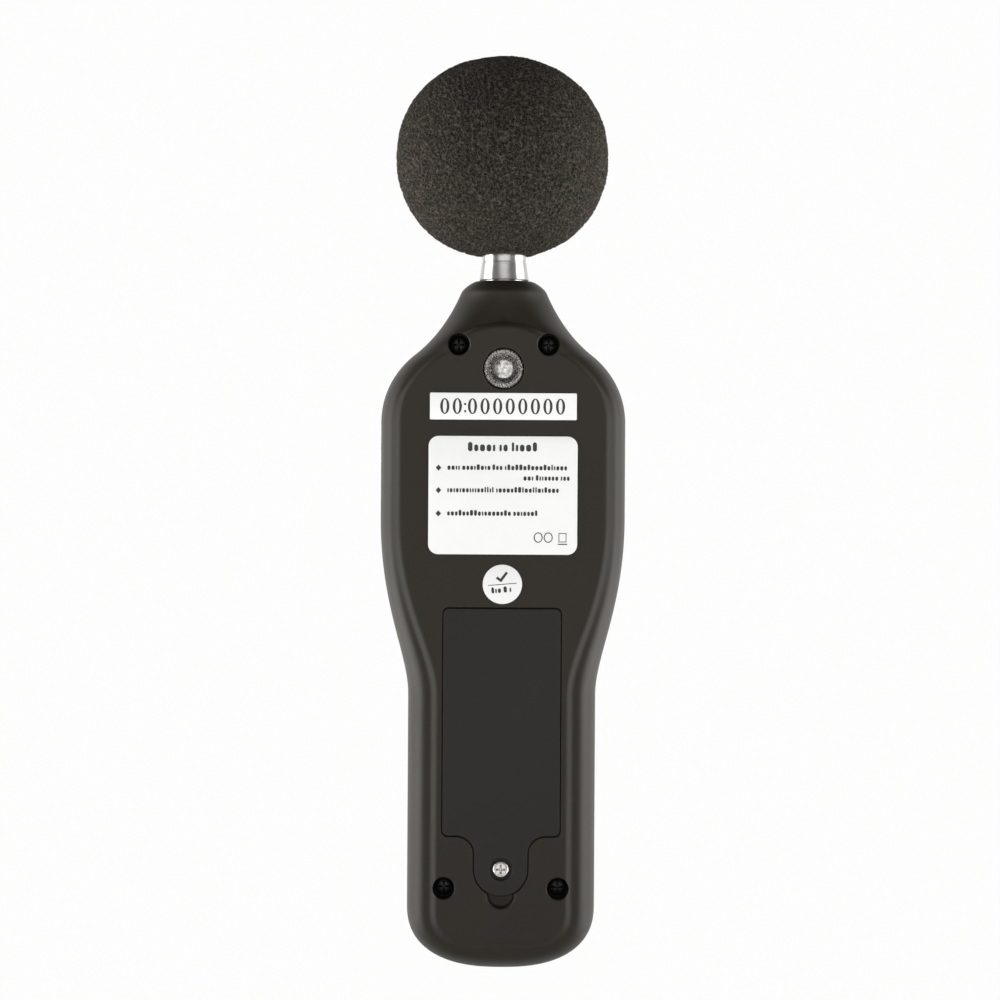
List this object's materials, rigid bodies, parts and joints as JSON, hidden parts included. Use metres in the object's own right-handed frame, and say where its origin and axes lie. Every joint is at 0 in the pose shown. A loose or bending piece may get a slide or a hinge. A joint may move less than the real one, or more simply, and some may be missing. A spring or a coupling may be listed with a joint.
{
  "type": "sound level meter",
  "caption": "Handheld sound level meter with a foam windscreen on a metal microphone neck, display, keys, battery cover and tripod socket.",
  "frame": {"origin": "centre of the tripod socket's mouth, in the plane of the flat back panel", "axes": "+Z along the case towards the microphone, +Y out of the back, so the display faces -Y; +X towards the side with the sockets"},
  "size_m": [0.0694, 0.0602, 0.2589],
  "materials": {
    "case_black": "fine moulded texture, satin",
    "cover_black": "fine moulded texture, satin",
    "foam_black": "open-cell foam",
    "steel_bright": "polished",
    "steel_satin": "satin",
    "steel_black": "black oxide",
    "nickel_plate": "knurled, nickel plated",
    "label_white": "printed film",
    "window_clear": "clear acrylic",
    "lcd_glass": "liquid-crystal panel",
    "backlight_white": "diffuser",
    "frame_grey": "moulded",
    "strip_pink": "conductive elastomer",
    "board_green": "solder mask",
    "chip_black": "moulded epoxy",
    "crystal_can": "satin",
    "key_grey": "silicone, satin",
    "mat_grey": "silicone",
    "battery_wrap": "printed jacket",
    "snap_black": "soft vinyl",
    "wire_red": "insulation",
    "wire_black": "insulation",
    "wire_grey": "insulation",
    "socket_black": "moulded",
    "trimmer_blue": "moulded",
    "pad_black": "foam pad"
  },
  "bodies": {
    "case": {"rear_shell": "case_black", "front_shell": "case_black", "case_screw_1": "steel_black", "case_screw_2": "steel_black", "case_screw_3": "steel_black", "case_screw_4": "steel_black", "tripod_insert": "nickel_plate", "serial_label": "label_white", "rating_label": "label_white", "inspection_sticker": "label_white", "microphone_neck": "steel_bright", "microphone_tube": "steel_satin", "microphone_capsule": "nickel_plate", "microphone_grid": "nickel_plate", "microphone_lead": "wire_grey", "display_window": "window_clear", "lcd_panel": "lcd_glass", "backlight_panel": "backlight_white", "contact_strip": "strip_pink", "lcd_frame": "frame_grey", "main_board": "board_green", "board_screw_1": "steel_satin", "board_screw_2": "steel_satin", "board_screw_3": "steel_satin", "board_screw_4": "steel_satin", "processor_chip": "chip_black", "filter_chip": "chip_black", "amplifier_chip": "chip_black", "crystal": "crystal_can", "lead_connector": "chip_black", "keypad_mat": "mat_grey", "battery": "battery_wrap", "battery_positive_terminal": "steel_satin", "battery_negative_terminal": "steel_satin", "battery_snap": "snap_black", "battery_lead_red": "wire_red", "battery_lead_black": "wire_black", "output_jack": "socket_black", "power_jack": "socket_black", "trimmer_body": "trimmer_blue"},
    "windscreen": {"windscreen": "foam_black"},
    "battery_cover": {"battery_cover": "cover_black", "battery_cover_pad": "pad_black"},
    "cover_screw": {"cover_screw": "steel_satin"},
    "power_button": {"power_button": "key_grey"},
    "backlight_button": {"backlight_button": "key_grey"},
    "hold_button": {"hold_button": "key_grey"},
    "max_min_button": {"max_min_button": "key_grey"},
    "response_button": {"response_button": "key_grey"},
    "weighting_button": {"weighting_button": "key_grey"},
    "trimmer_rotor": {"trimmer_rotor": "nickel_plate"}
  },
  "joints": [
    {"name": "windscreen_pull", "type": "slide", "parent": "case", "child": "windscreen", "axis": [0, 0, 1], "range_m": [0, 0.055]},
    {"name": "battery_cover_tip", "type": "hinge", "parent": "case", "child": "battery_cover", "pos_m": [0, -0.0003, -0.0672], "axis": [1, 0, 0], "range_deg": [0, 45]},
    {"name": "cover_screw_travel", "type": "slide", "parent": "battery_cover", "child": "cover_screw", "axis": [0, 1, 0], "range_m": [0, 0.005]},
    {"name": "calibration_turn", "type": "hinge", "parent": "case", "child": "trimmer_rotor", "pos_m": [-0.03, -0.0238, -0.026], "axis": [-1, 0, 0], "range_deg": [-135, 135]},
    {"name": "power_press", "type": "slide", "parent": "case", "child": "power_button", "axis": [0, 1, 0], "range_m": [0, 0.0008], "stiffness_N_per_m": 900, "springref_m": -0.0006},
    {"name": "backlight_press", "type": "slide", "parent": "case", "child": "backlight_button", "axis": [0, 1, 0], "range_m": [0, 0.0008], "stiffness_N_per_m": 900, "springref_m": -0.0006},
    {"name": "hold_press", "type": "slide", "parent": "case", "child": "hold_button", "axis": [0, 1, 0], "range_m": [0, 0.0008], "stiffness_N_per_m": 900, "springref_m": -0.0006},
    {"name": "max_min_press", "type": "slide", "parent": "case", "child": "max_min_button", "axis": [0, 1, 0], "range_m": [0, 0.0008], "stiffness_N_per_m": 900, "springref_m": -0.0006},
    {"name": "response_press", "type": "slide", "parent": "case", "child": "response_button", "axis": [0, 1, 0], "range_m": [0, 0.0008], "stiffness_N_per_m": 900, "springref_m": -0.0006},
    {"name": "weighting_press", "type": "slide", "parent": "case", "child": "weighting_button", "axis": [0, 1, 0], "range_m": [0, 0.0008], "stiffness_N_per_m": 900, "springref_m": -0.0006}
  ]
}
